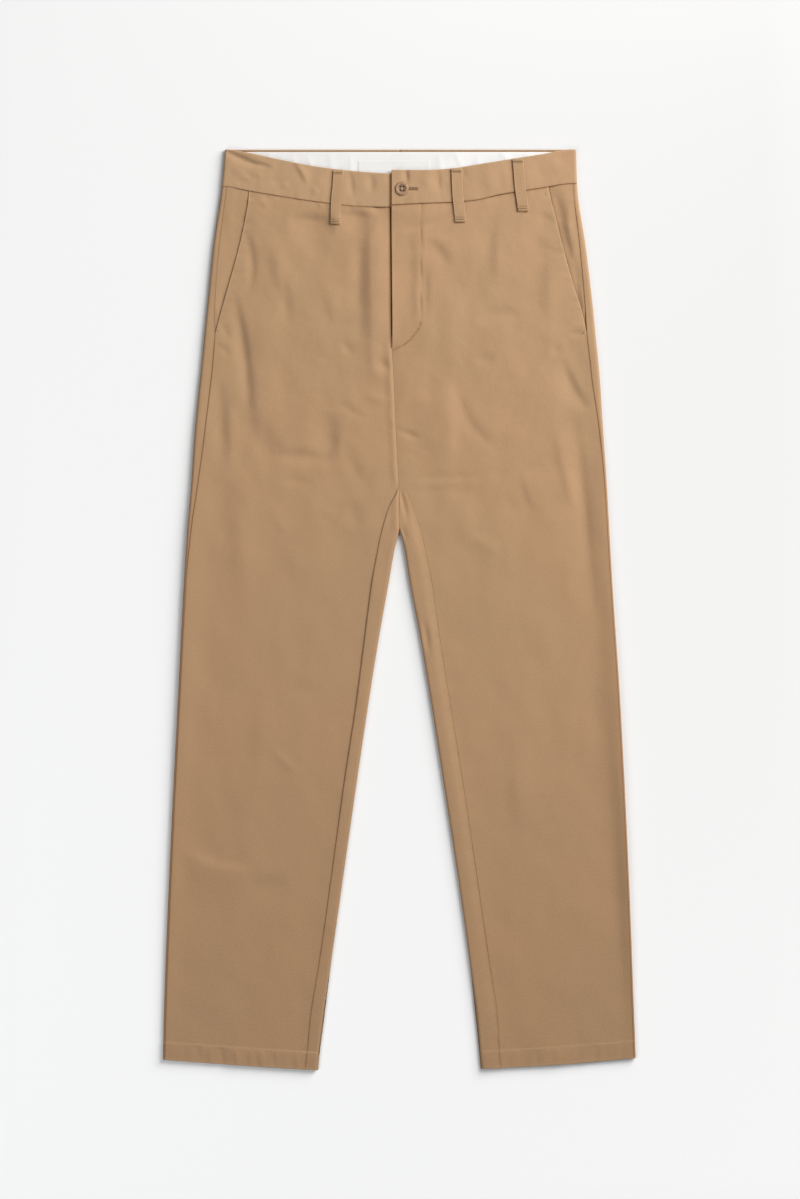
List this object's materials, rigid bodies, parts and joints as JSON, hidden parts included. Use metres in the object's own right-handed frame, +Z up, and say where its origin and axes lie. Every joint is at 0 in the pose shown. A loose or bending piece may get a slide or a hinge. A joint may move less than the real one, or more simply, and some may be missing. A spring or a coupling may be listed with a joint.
{
  "type": "chino trousers",
  "caption": "Straight-leg cotton chino trousers laid flat, front up, with a buttoned waistband, fly, slant pockets and belt loops.",
  "frame": {"origin": "under the middle of the garment, on the surface that it lies on", "axes": "+Y from the hems towards the waist, +Z up out of the front, +X towards the wearer's left leg"},
  "size_m": [0.5672, 1.104, 0.0114],
  "materials": {
    "chino_twill": "fine brushed cotton twill, matt tan",
    "lining_cotton": "plain white cotton waistband lining",
    "label_cotton": "bare off-white woven patch",
    "button_resin": "satin brown moulded resin"
  },
  "bodies": {
    "root": {"front_right": "chino_twill", "front_left": "chino_twill", "back_right": "chino_twill", "back_left": "chino_twill", "pocket_facing_right": "chino_twill", "pocket_facing_left": "chino_twill", "waistband_right": "chino_twill", "waistband_left": "chino_twill", "waistband_lining": "lining_cotton", "label_patch": "label_cotton", "fly_shield": "chino_twill", "belt_loop_right_front": "chino_twill", "belt_loop_left_front": "chino_twill", "belt_loop_left_side": "chino_twill", "button": "button_resin"}
  },
  "joints": []
}
